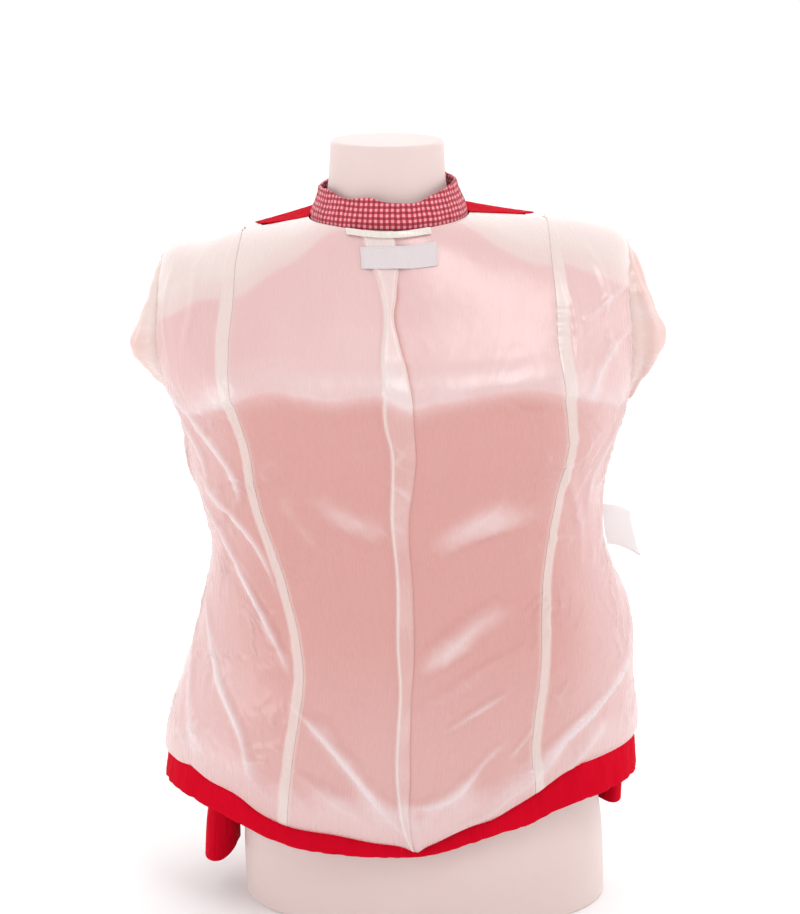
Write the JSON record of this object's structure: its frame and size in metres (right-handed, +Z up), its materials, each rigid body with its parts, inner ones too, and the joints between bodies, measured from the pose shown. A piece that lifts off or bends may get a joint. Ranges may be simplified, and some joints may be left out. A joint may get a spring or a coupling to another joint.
{
  "type": "folk blazer on dress form",
  "caption": "Red folk blazer turned inside out, satin lining and check stand collar showing, on a limbless dress form.",
  "frame": {"origin": "centre of the dress form's flat base, at floor level", "axes": "+Z up; -Y towards the side where the blazer's back lining and neck label face; +X to the right as seen from there"},
  "size_m": [0.4943, 0.2992, 0.75],
  "materials": {
    "red_cloth": "matt",
    "satin": "satin",
    "check_cloth": "matt",
    "label_cloth": "matt",
    "form_plastic": "satin",
    "horn": "satin"
  },
  "bodies": {
    "root": {"shell_back_left": "red_cloth", "hem_turn_back_left": "red_cloth", "lining_back_left": "satin", "shell_side_back_left": "red_cloth", "hem_turn_side_back_left": "red_cloth", "lining_side_back_left": "satin", "shell_side_front_left": "red_cloth", "hem_turn_side_front_left": "red_cloth", "lining_side_front_left": "satin", "shell_front_left": "red_cloth", "hem_turn_front_left": "red_cloth", "lining_front_left": "satin", "facing_left": "red_cloth", "sleeve_top_left": "red_cloth", "sleeve_lining_top_left": "satin", "sleeve_under_left": "red_cloth", "sleeve_lining_under_left": "satin", "shell_back_right": "red_cloth", "hem_turn_back_right": "red_cloth", "lining_back_right": "satin", "shell_side_back_right": "red_cloth", "hem_turn_side_back_right": "red_cloth", "lining_side_back_right": "satin", "shell_side_front_right": "red_cloth", "hem_turn_side_front_right": "red_cloth", "lining_side_front_right": "satin", "shell_front_right": "red_cloth", "hem_turn_front_right": "red_cloth", "lining_front_right": "satin", "facing_right": "red_cloth", "sleeve_top_right": "red_cloth", "sleeve_lining_top_right": "satin", "sleeve_under_right": "red_cloth", "sleeve_lining_under_right": "satin", "collar_inner": "check_cloth", "collar_outer": "check_cloth", "hanger_loop": "satin", "neck_label": "label_cloth", "care_label": "label_cloth", "dress_form": "form_plastic", "button_1": "horn", "button_2": "horn", "button_3": "horn", "button_4": "horn", "button_5": "horn"}
  },
  "joints": []
}
